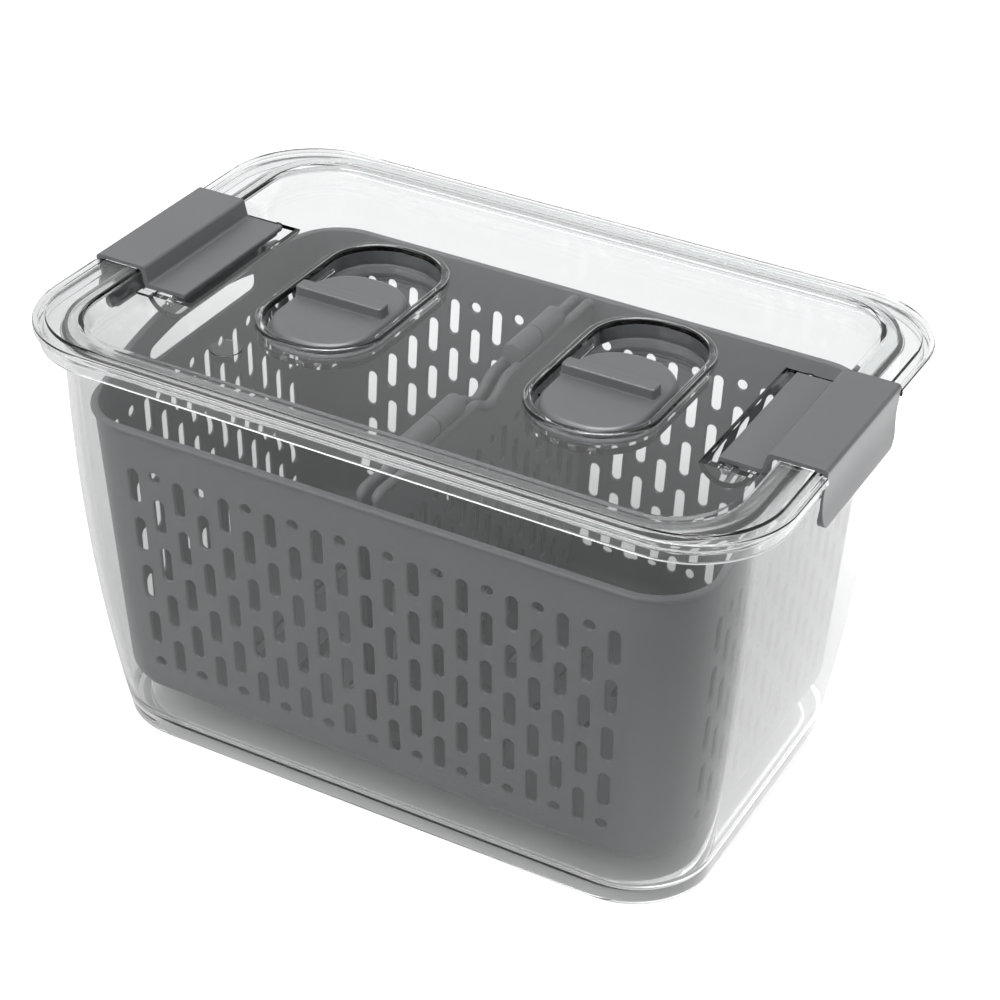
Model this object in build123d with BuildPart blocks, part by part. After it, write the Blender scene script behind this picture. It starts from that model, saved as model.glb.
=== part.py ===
from build123d import *
import os
from math import atan, degrees

os.makedirs("parts", exist_ok=True)

# Frame: X runs along the long side, Y along the short side, Z up.
# The origin is on the table under the middle of the tub.

# Tub
TUB_LENGTH = 286.0
TUB_WIDTH = 192.0
TUB_CORNER = 33.0
TUB_HEIGHT = 179.7
TUB_WALL = 2.2
TUB_KNEE = 100.0
KNEE_INSET = 1.6
FOOT_INSET = 11.2
FOOT_HEIGHT = 5.8
FOOT_ROUND = 2.0
TUB_FLOOR = 2.4
FLANGE_LENGTH = 308.0
FLANGE_WIDTH = 201.6
FLANGE_CORNER = 43.5
FLANGE_PLATE = 2.2
FLANGE_LIP = 2.0
FLANGE_DEPTH = 5.8

# Lid
LID_LENGTH = 312.0
LID_WIDTH = 205.0
LID_CORNER = 45.0
LID_RISE = 4.3
LID_SKIRT_WALL = 2.0
LID_PLATE = 2.2
LID_GAP = 0.3
LEDGE_WIDTH = 5.2
LEDGE_STEP = 1.0
RECESS_LENGTH = 269.7
RECESS_WIDTH = 179.9
RECESS_CORNER = 27.5
RECESS_DEPTH = 7.0
RECESS_SLOPE = 2.0
RECESS_WALL = 1.9

# Gasket
GASKET_WIDTH = 5.2
GASKET_SEAT = 0.1

# Vents in the lid and their sliders
VENT_SPACING = 117.0
VENT_LENGTH = 87.0
VENT_WIDTH = 47.0
VENT_DEPTH = 7.2
VENT_FLOOR = 1.8
VENT_WALL = 2.5
VENT_BEAD_RISE = 1.3
VENT_SLOTS = 5
VENT_SLOT_WIDTH = 3.0
VENT_SLOT_LENGTH = 11.0
VENT_SLOT_PITCH = 6.5
VENT_SLOT_INSET = 13.0
SLIDER_LENGTH = 64.0
SLIDER_HEIGHT = 6.4
SLIDER_ROUND = 2.2
SLIDER_GAP = 0.35
GRIP_LENGTH = 37.5
GRIP_WIDTH = 5.5
GRIP_HEIGHT = 4.2
GRIP_OFFSET = 4.6
RAIL_REACH = 0.9
RAIL_HEIGHT = 1.2
RAIL_LEVEL = 2.6

# Latches
LATCH_WIDTH = 70.0
LATCH_PLATE = 1.8
LATCH_RISE = 1.2
LATCH_REACH = 157.4
LATCH_SKIRT = 2.0
LATCH_DROP = 21.7
LATCH_WAIST = 0.8
LATCH_CORNER = 5.0
CATCH_HEIGHT = 9.0
CATCH_THICKNESS = 2.8
CATCH_SWING = 2.4
PAD_INNER = 113.2
PAD_RISE = 1.0
LATCH_GAP = 0.3
PIVOT_X = 118.5
PIVOT_DROP = 2.6
BARREL_RADIUS = 2.2
TRUNNION_RADIUS = 1.6
TRUNNION_FIT = 0.06
TRUNNION_LENGTH = 3.6
TROUGH_RADIUS = 9.4
TROUGH_WALL = 1.6
TROUGH_RISE = 1.6
TROUGH_SIDE = 2.6
SWING_GAP = 0.3

# Basket
BASKET_LENGTH = 263.5
BASKET_WIDTH = 180.0
BASKET_CORNER = 25.0
BASKET_BASE_LENGTH = 255.0
BASKET_BASE_WIDTH = 162.0
BASKET_DROP = 25.2
BASKET_LIFT = 10.6
BASKET_WALL = 2.0
BASKET_FLOOR = 2.2
BASKET_EDGE = 6.0
RIM_BEAD = 1.8
RIM_BEAD_HEIGHT = 4.0
HANDLE_CROWN = 9.0
HANDLE_SPAN = 134.0
GRIP_SLOT_LENGTH = 77.0
GRIP_SLOT_DROP = 12.2
GRIP_SLOT_HEIGHT = 7.0
GRIP_SLOT_CROWN = 4.8
BASKET_FOOT = 12.0
BASKET_FOOT_X = 92.0
BASKET_FOOT_Y = 52.0

# Perforations of the basket and the divider
SLOT_LENGTH = 15.8
SLOT_WIDTH = 4.8
SLOT_PITCH = 10.3
SLOT_FAN = 0.0004
SLOT_MARGIN = 31.3
SLOT_DROP = 22.8
SLOT_FOOT_BAND = 8.0
HOLE_SIZE = 5.0
HOLE_RISE = 6.8
SIDE_COLUMNS = 21
END_COLUMNS = 13
FLOOR_COLUMNS = 8
FLOOR_ROWS = 2
FLOOR_PITCH = 24.0
FLOOR_ROW_PITCH = 48.0
FLOOR_SLOT_LENGTH = 30.0

# Divider
LEAF_OFFSET = 3.3
LEAF_PLATE = 2.0
LEAF_BEAD = 4.2
LEAF_BEAD_HEIGHT = 3.6
LEAF_DROP = 0.2
LEAF_TOP_CORNER = 12.0
LEAF_BASE_CORNER = 24.0
LEAF_NOTCH_LENGTH = 26.0
LEAF_NOTCH_DEPTH = 7.0
LEAF_GAP = 0.6
LEAF_FOOT_GAP = 2.6
LEAF_LIFT = 2.6
LEAF_COLUMNS = 15
HINGE_RISE = 2.2
KNUCKLE_RADIUS = 4.5
KNUCKLE_GAP = 0.4
HINGE_PIN_RADIUS = 2.2
HINGE_PIN_FIT = 0.08
CLIP_MOUTH = 3.0
CLIP_LENGTH = 18.0
KNUCKLE_LENGTH = 19.0
HINGE_CENTRES = (-40.6, 40.6)

# Levels and places that follow from the sizes
LID_HEIGHT = TUB_HEIGHT + LID_RISE
BASKET_TOP = TUB_HEIGHT - BASKET_DROP
LEAF_TOP = BASKET_TOP - LEAF_DROP
GRIP_SLOT_LOW = BASKET_TOP - GRIP_SLOT_DROP
SLOT_TOP = BASKET_TOP - SLOT_MARGIN
floor_top = FOOT_HEIGHT + TUB_FLOOR
lid_bottom = TUB_HEIGHT + LID_GAP
ledge_top = LID_HEIGHT - LEDGE_STEP
panel_top = LID_HEIGHT - RECESS_DEPTH
panel_bottom = panel_top - LID_PLATE
channel_top = LID_HEIGHT - LID_PLATE
basket_base = floor_top + BASKET_LIFT
basket_floor = basket_base + BASKET_FLOOR
slot_rows = int((SLOT_TOP - basket_floor - SLOT_FOOT_BAND) / SLOT_DROP)
well_floor = panel_top - VENT_DEPTH
latch_top = LID_HEIGHT + LATCH_RISE
pivot_z = panel_top - PIVOT_DROP
trough_z = panel_top + TROUGH_RISE
hinge_z = LEAF_TOP + HINGE_RISE


def rounded(length, width, corner, level):
    with BuildSketch(Plane.XY.offset(level)) as section:
        RectangleRounded(length, width, corner)
    return section.sketch


def tucked_block(inset, bottom, top):
    """The tub's shape set in from its wall line, between two levels: steep above the knee, tucked in below."""
    upper_taper = degrees(atan(KNEE_INSET / (TUB_HEIGHT - TUB_KNEE)))
    lower_taper = degrees(atan((FOOT_INSET - KNEE_INSET) / TUB_KNEE))
    knee = inset + KNEE_INSET
    start = min(top, TUB_KNEE)
    low = knee + (FOOT_INSET - KNEE_INSET) * (TUB_KNEE - start) / TUB_KNEE
    with BuildPart(mode=Mode.PRIVATE) as block:
        extrude(
            rounded(TUB_LENGTH - 2 * low, TUB_WIDTH - 2 * low, TUB_CORNER - low, start),
            amount=bottom - start,
            taper=lower_taper,
        )
        if top > TUB_KNEE:
            extrude(
                rounded(TUB_LENGTH - 2 * inset, TUB_WIDTH - 2 * inset, TUB_CORNER - inset, TUB_HEIGHT),
                amount=TUB_KNEE - TUB_HEIGHT,
                taper=upper_taper,
            )
    return block.part


def basket_half(level, base, top):
    share = (level - basket_base) / (BASKET_TOP - basket_base)
    return (base + (top - base) * share) / 2


def basket_face(plane, base, top, inset, low, high):
    """One side view of the basket's tapered shape, set in from its outside."""
    low_half = basket_half(low, base, top) - inset
    high_half = basket_half(high, base, top) - inset
    with BuildSketch(plane) as view:
        with BuildLine():
            Polyline(
                (-low_half, low),
                (low_half, low),
                (high_half, high),
                (-high_half, high),
                close=True,
            )
        make_face()
    return view.sketch


def basket_block(inset, low, high):
    """The basket's tapered shape between two levels, set in from its outside."""
    with BuildPart(mode=Mode.PRIVATE) as block:
        extrude(
            basket_face(Plane.XZ, BASKET_BASE_LENGTH, BASKET_LENGTH, inset, low, high),
            amount=BASKET_WIDTH,
            both=True,
        )
        extrude(
            basket_face(Plane.YZ, BASKET_BASE_WIDTH, BASKET_WIDTH, inset, low, high),
            amount=BASKET_LENGTH,
            both=True,
            mode=Mode.INTERSECT,
        )
        corners = block.edges().filter_by(lambda edge: edge.bounding_box().size.Z > (high - low) / 2)
        fillet(corners, BASKET_CORNER - inset)
    return block.part


def slot_pattern(plane, columns):
    """Staggered slots and small holes of one wall, which draw together downwards."""
    odd = (columns + 1) // 2
    even = columns // 2
    with BuildSketch(plane) as pattern:
        for row in range(slot_rows):
            for count, level in (
                (odd, SLOT_TOP - SLOT_DROP * row),
                (even, SLOT_TOP - SLOT_DROP * (row + 0.5)),
            ):
                pitch = SLOT_PITCH * (1 - SLOT_FAN * (SLOT_TOP - level))
                with Locations((0, level)):
                    with GridLocations(2 * pitch, 0, count, 1):
                        Rectangle(SLOT_WIDTH, SLOT_LENGTH)
        low = SLOT_TOP - SLOT_DROP * (slot_rows - 0.5) + HOLE_RISE - SLOT_LENGTH / 2
        low_pitch = SLOT_PITCH * (1 - SLOT_FAN * (SLOT_TOP - low))
        with Locations((0, low)):
            with GridLocations(2 * low_pitch, 0, odd, 1):
                Rectangle(HOLE_SIZE, HOLE_SIZE)
        with Locations((0, SLOT_TOP + HOLE_RISE)):
            with GridLocations(2 * SLOT_PITCH, 0, even, 1):
                Rectangle(HOLE_SIZE, HOLE_SIZE)
    return pattern.sketch


# Tub: a tucked-in box on a foot ring, with an outward flange round its mouth
flange_bottom = TUB_HEIGHT - FLANGE_DEPTH
with BuildPart() as tub:
    extrude(rounded(FLANGE_LENGTH, FLANGE_WIDTH, FLANGE_CORNER, flange_bottom), amount=FLANGE_DEPTH)
    extrude(
        rounded(
            FLANGE_LENGTH - 2 * FLANGE_LIP,
            FLANGE_WIDTH - 2 * FLANGE_LIP,
            FLANGE_CORNER - FLANGE_LIP,
            flange_bottom,
        ),
        amount=FLANGE_DEPTH - FLANGE_PLATE,
        mode=Mode.SUBTRACT,
    )
    add(tucked_block(0, 0, TUB_HEIGHT))
    chamfer(tub.faces().sort_by(Axis.Z)[0].edges(), FOOT_ROUND)
    add(tucked_block(TUB_WALL, floor_top, TUB_HEIGHT), mode=Mode.SUBTRACT)
    add(tucked_block(TUB_WALL + FOOT_ROUND, 0, FOOT_HEIGHT), mode=Mode.SUBTRACT)
tub.part.label = "tub"

# Lid: a stepped band round a sunken panel that plugs the mouth of the tub
recess_taper = degrees(atan(RECESS_SLOPE / RECESS_DEPTH))
plug_length = RECESS_LENGTH + 2 * RECESS_WALL
plug_width = RECESS_WIDTH + 2 * RECESS_WALL
plug_corner = RECESS_CORNER + RECESS_WALL
vent_corner = VENT_WIDTH / 2 - 2.0
opening_end = RECESS_LENGTH / 2 - RECESS_SLOPE
opening_half = LATCH_WIDTH / 2 + TROUGH_SIDE
strip_top = panel_top + PAD_RISE - LATCH_PLATE - LATCH_GAP
notch_width = LATCH_WIDTH + 2 * LATCH_GAP
skirt_inner = LATCH_REACH - LATCH_SKIRT


def vent_outline(grow, level, side):
    with BuildSketch(Plane.XY.offset(level)) as outline:
        with Locations((side * VENT_SPACING / 2, 0)):
            RectangleRounded(VENT_WIDTH + 2 * grow, VENT_LENGTH + 2 * grow, vent_corner + grow)
    return outline.sketch


with BuildPart() as lid:
    extrude(rounded(LID_LENGTH, LID_WIDTH, LID_CORNER, lid_bottom), amount=ledge_top - lid_bottom)
    extrude(
        rounded(
            LID_LENGTH - 2 * LEDGE_WIDTH,
            LID_WIDTH - 2 * LEDGE_WIDTH,
            LID_CORNER - LEDGE_WIDTH,
            lid_bottom,
        ),
        amount=LID_HEIGHT - lid_bottom,
    )
    extrude(
        rounded(
            LID_LENGTH - 2 * LID_SKIRT_WALL,
            LID_WIDTH - 2 * LID_SKIRT_WALL,
            LID_CORNER - LID_SKIRT_WALL,
            lid_bottom,
        ),
        amount=channel_top - lid_bottom,
        mode=Mode.SUBTRACT,
    )
    extrude(
        rounded(plug_length, plug_width, plug_corner, channel_top),
        amount=panel_bottom - channel_top,
        taper=recess_taper,
    )
    for side in (-1, 1):
        extrude(vent_outline(VENT_WALL, well_floor - VENT_FLOOR, side), amount=VENT_DEPTH)
        with Locations((side * PIVOT_X, 0, trough_z)):
            Cylinder(
                TROUGH_RADIUS + TROUGH_WALL,
                2 * (opening_half + TROUGH_WALL),
                rotation=(90, 0, 0),
            )
        with Locations((side * (opening_end + PIVOT_X) / 2, 0, strip_top)):
            Box(
                opening_end - PIVOT_X + 2 * RECESS_WALL,
                2 * (opening_half + TROUGH_WALL),
                LID_PLATE,
                align=(Align.CENTER, Align.CENTER, Align.MAX),
            )
    extrude(
        rounded(RECESS_LENGTH, RECESS_WIDTH, RECESS_CORNER, LID_HEIGHT),
        amount=-RECESS_DEPTH,
        taper=recess_taper,
        mode=Mode.SUBTRACT,
    )
    extrude(
        rounded(LID_LENGTH, LID_WIDTH, LID_CORNER, LID_HEIGHT),
        amount=2 * TROUGH_RADIUS,
        mode=Mode.SUBTRACT,
    )
    for side in (-1, 1):
        extrude(vent_outline(VENT_WALL, panel_top, side), amount=VENT_BEAD_RISE)
        extrude(
            vent_outline(0, well_floor, side),
            amount=VENT_DEPTH + 2 * VENT_BEAD_RISE,
            mode=Mode.SUBTRACT,
        )
        with Locations((side * VENT_SPACING / 2, 0, well_floor + RAIL_LEVEL)):
            with GridLocations(VENT_WIDTH - RAIL_REACH, 0, 2, 1):
                Box(RAIL_REACH, VENT_LENGTH - 2 * vent_corner, RAIL_HEIGHT)
        with Locations((side * VENT_SPACING / 2, -VENT_LENGTH / 2 + VENT_SLOT_INSET, well_floor)):
            with GridLocations(VENT_SLOT_PITCH, 0, VENT_SLOTS, 1):
                Box(VENT_SLOT_WIDTH, VENT_SLOT_LENGTH, 3 * VENT_FLOOR, mode=Mode.SUBTRACT)
        with Locations((side * PIVOT_X, 0, trough_z)):
            Cylinder(TROUGH_RADIUS, 2 * opening_half, rotation=(90, 0, 0), mode=Mode.SUBTRACT)
        with Locations((side * PIVOT_X, 0, pivot_z)):
            Cylinder(
                TRUNNION_RADIUS + TRUNNION_FIT,
                2 * (opening_half + TROUGH_WALL),
                rotation=(90, 0, 0),
                mode=Mode.SUBTRACT,
            )
        with Locations((side * (PIVOT_X + opening_end) / 2, 0, strip_top)):
            Box(
                opening_end - PIVOT_X,
                2 * opening_half,
                LID_HEIGHT - strip_top,
                align=(Align.CENTER, Align.CENTER, Align.MIN),
                mode=Mode.SUBTRACT,
            )
        with Locations((side * RECESS_LENGTH / 2, 0, latch_top - LATCH_PLATE - LATCH_GAP)):
            Box(
                2 * (LID_LENGTH - RECESS_LENGTH),
                notch_width,
                LID_HEIGHT - lid_bottom,
                align=(Align.CENTER, Align.CENTER, Align.MIN),
                mode=Mode.SUBTRACT,
            )
        with Locations((side * (skirt_inner - CATCH_SWING), 0, LID_HEIGHT)):
            Box(
                LID_LENGTH - RECESS_LENGTH,
                notch_width,
                2 * LATCH_DROP,
                align=(Align.MIN if side > 0 else Align.MAX, Align.CENTER, Align.CENTER),
                mode=Mode.SUBTRACT,
            )
lid.part.label = "lid"

# Gasket: a flat silicone ring round the plug, under the band of the lid
gasket_height = channel_top - lid_bottom
with BuildPart() as lid_gasket:
    gasket_length = plug_length + 2 * GASKET_SEAT
    gasket_width = plug_width + 2 * GASKET_SEAT
    gasket_corner = plug_corner + GASKET_SEAT
    extrude(
        rounded(
            gasket_length + 2 * GASKET_WIDTH,
            gasket_width + 2 * GASKET_WIDTH,
            gasket_corner + GASKET_WIDTH,
            lid_bottom,
        ),
        amount=gasket_height,
    )
    extrude(
        rounded(gasket_length, gasket_width, gasket_corner, lid_bottom),
        amount=gasket_height,
        mode=Mode.SUBTRACT,
    )
lid_gasket.part.label = "lid_gasket"


def latch(side):
    """One snap latch: a pad on its barrel, a riser, a plate and a skirt with a catch."""
    pad_top = panel_top + PAD_RISE
    pad_bottom = pad_top - LATCH_PLATE
    slope = RECESS_SLOPE / RECESS_DEPTH
    wall_top = RECESS_LENGTH / 2 - (LID_HEIGHT - (latch_top - LATCH_PLATE)) * slope
    riser_top = wall_top - LATCH_GAP
    riser_foot = opening_end - LATCH_GAP
    skirt_foot = latch_top - LATCH_DROP
    catch_top = skirt_foot + CATCH_HEIGHT
    with BuildPart() as piece:
        with BuildSketch(Plane.XZ.offset(-LATCH_WIDTH / 2)):
            with BuildLine():
                Polyline(
                    (LATCH_REACH, latch_top),
                    (riser_top - LATCH_PLATE, latch_top),
                    (riser_foot - LATCH_PLATE, pad_top),
                    (PAD_INNER, pad_top),
                    (PAD_INNER, pad_bottom),
                    (riser_foot, pad_bottom),
                    (riser_top, latch_top - LATCH_PLATE),
                    (skirt_inner, latch_top - LATCH_PLATE),
                    (skirt_inner - LATCH_WAIST, catch_top + 1.5),
                    (LATCH_REACH - CATCH_THICKNESS, catch_top),
                    (LATCH_REACH - CATCH_THICKNESS, skirt_foot),
                    (LATCH_REACH, skirt_foot),
                )
                ThreePointArc(
                    (LATCH_REACH, skirt_foot),
                    (LATCH_REACH - LATCH_WAIST, (skirt_foot + latch_top) / 2),
                    (LATCH_REACH, latch_top),
                )
            make_face()
        extrude(amount=LATCH_WIDTH)
        chamfer(piece.edges().filter_by(Axis.Y).group_by(Axis.Z)[0], 0.8)
        chamfer(piece.edges().filter_by(Axis.Y).group_by(Axis.Z)[-1], 0.8)
        with BuildSketch(Plane.YZ) as front:
            with Locations((0, skirt_foot)):
                Rectangle(LATCH_WIDTH, 2 * LATCH_DROP, align=(Align.CENTER, Align.MIN))
            fillet(front.vertices().group_by(Axis.Y)[0], LATCH_CORNER)
        extrude(amount=2 * LATCH_REACH, mode=Mode.INTERSECT)
        with Locations((PIVOT_X, 0, pivot_z)):
            Cylinder(BARREL_RADIUS, LATCH_WIDTH, rotation=(90, 0, 0))
            Cylinder(
                TRUNNION_RADIUS,
                LATCH_WIDTH + 2 * TRUNNION_LENGTH,
                rotation=(90, 0, 0),
            )
        if side < 0:
            mirror(about=Plane.YZ, mode=Mode.REPLACE)
    return piece.part


latch_left = latch(-1)
latch_left.label = "latch_left"
latch_right = latch(1)
latch_right.label = "latch_right"


def vent_slider(side):
    """One vent slider: a low rounded block with a grip bar across it."""
    front = -VENT_LENGTH / 2 + SLIDER_GAP
    width = VENT_WIDTH - 2 * SLIDER_GAP
    middle = side * VENT_SPACING / 2
    base = well_floor + SLIDER_GAP
    with BuildPart() as piece:
        with BuildSketch(Plane.XY.offset(base)):
            with Locations((middle, front + SLIDER_LENGTH / 2)):
                RectangleRounded(width, SLIDER_LENGTH, vent_corner - SLIDER_GAP)
        extrude(amount=SLIDER_HEIGHT)
        chamfer(piece.faces().sort_by(Axis.Z)[-1].edges(), SLIDER_ROUND)
        with Locations((middle, 0, well_floor + RAIL_LEVEL)):
            with GridLocations(VENT_WIDTH - RAIL_REACH, 0, 2, 1):
                Box(
                    RAIL_REACH + 2 * SLIDER_GAP,
                    3 * VENT_LENGTH,
                    RAIL_HEIGHT + 2 * SLIDER_GAP,
                    mode=Mode.SUBTRACT,
                )
        with BuildSketch(Plane.XY.offset(base + SLIDER_HEIGHT)):
            with Locations((middle, front + SLIDER_LENGTH / 2 + GRIP_OFFSET)):
                Rectangle(GRIP_LENGTH, GRIP_WIDTH)
        extrude(amount=GRIP_HEIGHT, taper=6)
    return piece.part


vent_slider_left = vent_slider(-1)
vent_slider_left.label = "vent_slider_left"
vent_slider_right = vent_slider(1)
vent_slider_right.label = "vent_slider_right"

# Basket: a perforated tapered shell with a beaded rim that arches over the end handles
crown = BASKET_TOP + HANDLE_CROWN


def rim_profile(drop, lift, reach):
    """Side outline of the basket under its rim: level at the sides, arched at the ends."""
    with BuildSketch(Plane.YZ) as outline:
        with BuildLine():
            Line((-reach, BASKET_TOP - drop), (-HANDLE_SPAN / 2, BASKET_TOP - drop))
            ThreePointArc(
                (-HANDLE_SPAN / 2, BASKET_TOP - drop),
                (0, crown - drop),
                (HANDLE_SPAN / 2, BASKET_TOP - drop),
            )
            Polyline(
                (HANDLE_SPAN / 2, BASKET_TOP - drop),
                (reach, BASKET_TOP - drop),
                (reach, lift),
                (-reach, lift),
                (-reach, BASKET_TOP - drop),
            )
        make_face()
    return outline.sketch


with BuildPart() as basket:
    add(basket_block(0, basket_base, crown))
    chamfer(basket.faces().sort_by(Axis.Z)[0].edges(), BASKET_EDGE)
    with BuildPart(mode=Mode.PRIVATE) as inside:
        add(basket_block(BASKET_WALL, basket_floor, crown))
        chamfer(inside.faces().sort_by(Axis.Z)[0].edges(), BASKET_EDGE - BASKET_WALL / 2)
    add(inside.part, mode=Mode.SUBTRACT)
    with BuildPart(mode=Mode.PRIVATE) as rim:
        add(basket_block(-RIM_BEAD, BASKET_TOP - RIM_BEAD_HEIGHT, crown))
        add(basket_block(BASKET_WALL, BASKET_TOP - RIM_BEAD_HEIGHT, crown), mode=Mode.SUBTRACT)
        extrude(
            rim_profile(RIM_BEAD_HEIGHT, 0, BASKET_WIDTH),
            amount=BASKET_LENGTH,
            both=True,
            mode=Mode.SUBTRACT,
        )
    add(rim.part)
    extrude(
        rim_profile(0, 2 * crown, BASKET_WIDTH),
        amount=BASKET_LENGTH,
        both=True,
        mode=Mode.SUBTRACT,
    )
    extrude(slot_pattern(Plane.XZ, SIDE_COLUMNS), amount=BASKET_WIDTH, both=True, mode=Mode.SUBTRACT)
    extrude(slot_pattern(Plane.YZ, END_COLUMNS), amount=BASKET_LENGTH, both=True, mode=Mode.SUBTRACT)
    with BuildSketch(Plane.YZ) as handle:
        with BuildLine():
            half = GRIP_SLOT_LENGTH / 2
            high = GRIP_SLOT_LOW + GRIP_SLOT_HEIGHT
            Line((-half, GRIP_SLOT_LOW), (half, GRIP_SLOT_LOW))
            Line((half, GRIP_SLOT_LOW), (half, high))
            ThreePointArc((half, high), (0, high + GRIP_SLOT_CROWN), (-half, high))
            Line((-half, high), (-half, GRIP_SLOT_LOW))
        make_face()
        fillet(handle.vertices(), 3.2)
    extrude(amount=BASKET_LENGTH, both=True, mode=Mode.SUBTRACT)
    with BuildSketch(Plane.XY.offset(basket_base)):
        with GridLocations(FLOOR_PITCH, FLOOR_ROW_PITCH, FLOOR_COLUMNS, FLOOR_ROWS):
            Rectangle(SLOT_WIDTH, FLOOR_SLOT_LENGTH)
    extrude(amount=3 * BASKET_FLOOR, both=True, mode=Mode.SUBTRACT)
    with BuildSketch(Plane.XY.offset(basket_base)):
        with GridLocations(2 * BASKET_FOOT_X, 2 * BASKET_FOOT_Y, 2, 2):
            Rectangle(2 * BASKET_FOOT, BASKET_FOOT)
    extrude(amount=-(BASKET_LIFT - LID_GAP))
basket.part.label = "basket"


def leaf(side):
    """One perforated leaf of the divider with its hinge knuckles."""
    middle = side * LEAF_OFFSET
    foot = basket_floor + LEAF_LIFT
    share = (foot - basket_base) / (BASKET_TOP - basket_base)
    base_half = (BASKET_BASE_WIDTH + (BASKET_WIDTH - BASKET_BASE_WIDTH) * share) / 2
    base_half = base_half - BASKET_WALL - LEAF_FOOT_GAP
    top_half = BASKET_WIDTH / 2 - BASKET_WALL - LEAF_GAP
    if side < 0:
        own = [(centre - CLIP_LENGTH / 2 - KNUCKLE_GAP / 2, CLIP_LENGTH) for centre in HINGE_CENTRES]
        other = [(centre + KNUCKLE_LENGTH / 2 + KNUCKLE_GAP / 2, KNUCKLE_LENGTH) for centre in HINGE_CENTRES]
    else:
        own = [(centre + KNUCKLE_LENGTH / 2 + KNUCKLE_GAP / 2, KNUCKLE_LENGTH) for centre in HINGE_CENTRES]
        other = [(centre - CLIP_LENGTH / 2 - KNUCKLE_GAP / 2, CLIP_LENGTH) for centre in HINGE_CENTRES]
    with BuildPart() as piece:
        with BuildSketch(Plane.YZ.offset(middle)) as outline:
            with BuildLine():
                Polyline(
                    (-LEAF_NOTCH_LENGTH / 2, LEAF_TOP),
                    (-top_half, LEAF_TOP),
                    (-base_half, foot),
                    (base_half, foot),
                    (top_half, LEAF_TOP),
                    (LEAF_NOTCH_LENGTH / 2, LEAF_TOP),
                )
                ThreePointArc(
                    (LEAF_NOTCH_LENGTH / 2, LEAF_TOP),
                    (0, LEAF_TOP - LEAF_NOTCH_DEPTH),
                    (-LEAF_NOTCH_LENGTH / 2, LEAF_TOP),
                )
            make_face()
            fillet(outline.vertices().sort_by(Axis.X)[0], LEAF_TOP_CORNER)
            fillet(outline.vertices().sort_by(Axis.X)[-1], LEAF_TOP_CORNER)
            fillet(outline.vertices().group_by(Axis.Y)[0], LEAF_BASE_CORNER)
        extrude(amount=LEAF_PLATE / 2, both=True)
        with BuildSketch(Plane.YZ.offset(middle)):
            add(outline.sketch_local)
            with Locations((0, -LEAF_BEAD_HEIGHT)):
                add(outline.sketch_local, mode=Mode.SUBTRACT)
        extrude(amount=LEAF_BEAD / 2, both=True)
        for place, length in own:
            with Locations((middle, place, hinge_z)):
                Box(LEAF_BEAD, length, hinge_z - LEAF_TOP + 1, align=(Align.CENTER, Align.CENTER, Align.MAX))
            with Locations((0, place, hinge_z)):
                Cylinder(KNUCKLE_RADIUS, length, rotation=(90, 0, 0))
        for place, length in other:
            with Locations((0, place, hinge_z)):
                Cylinder(
                    KNUCKLE_RADIUS + KNUCKLE_GAP,
                    length + 2 * KNUCKLE_GAP,
                    rotation=(90, 0, 0),
                    mode=Mode.SUBTRACT,
                )
        extrude(slot_pattern(Plane.YZ, LEAF_COLUMNS), amount=BASKET_LENGTH, both=True, mode=Mode.SUBTRACT)
        for place, length in own if side < 0 else other:
            if side < 0:
                with Locations((0, place, hinge_z)):
                    Cylinder(
                        HINGE_PIN_RADIUS + HINGE_PIN_FIT,
                        2 * length,
                        rotation=(90, 0, 0),
                        mode=Mode.SUBTRACT,
                    )
                with Locations(Location((0, place, hinge_z), (0, 45, 0))):
                    Box(
                        CLIP_MOUTH,
                        2 * length,
                        2 * KNUCKLE_RADIUS,
                        align=(Align.CENTER, Align.CENTER, Align.MIN),
                        mode=Mode.SUBTRACT,
                    )
            else:
                with Locations((0, place + KNUCKLE_GAP, hinge_z)):
                    Cylinder(HINGE_PIN_RADIUS, length + 2 * KNUCKLE_GAP, rotation=(90, 0, 0))
    return piece.part


divider_leaf_left = leaf(-1)
divider_leaf_left.label = "divider_leaf_left"
divider_leaf_right = leaf(1)
divider_leaf_right.label = "divider_leaf_right"

export_step(tub.part, "parts/tub.step")
export_step(lid.part, "parts/lid.step")
export_step(lid_gasket.part, "parts/lid_gasket.step")
export_step(latch_left, "parts/latch_left.step")
export_step(latch_right, "parts/latch_right.step")
export_step(vent_slider_left, "parts/vent_slider_left.step")
export_step(vent_slider_right, "parts/vent_slider_right.step")
export_step(basket.part, "parts/basket.step")
export_step(divider_leaf_left, "parts/divider_leaf_left.step")
export_step(divider_leaf_right, "parts/divider_leaf_right.step")
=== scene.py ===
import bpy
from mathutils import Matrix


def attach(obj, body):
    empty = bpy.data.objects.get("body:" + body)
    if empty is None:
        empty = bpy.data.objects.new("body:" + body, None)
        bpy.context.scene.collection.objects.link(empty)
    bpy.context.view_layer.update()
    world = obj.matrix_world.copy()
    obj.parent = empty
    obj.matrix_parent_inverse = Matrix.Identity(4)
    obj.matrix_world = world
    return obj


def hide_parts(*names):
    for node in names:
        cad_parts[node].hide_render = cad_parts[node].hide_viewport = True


bl_info = {
    "name": "Produce keeper",
    "version": (1, 0, 0),
    "blender": (4, 5, 0),
    "location": "3D View > Sidebar > Keeper",
    "description": "Clear lidded keeper with a perforated basket and a folding divider",
    "category": "Add Mesh",
}

from math import atan2, cos, pi, radians, sin, sqrt

import bmesh
import bpy
from mathutils import Matrix, Vector
from mathutils.kdtree import KDTree

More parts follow.
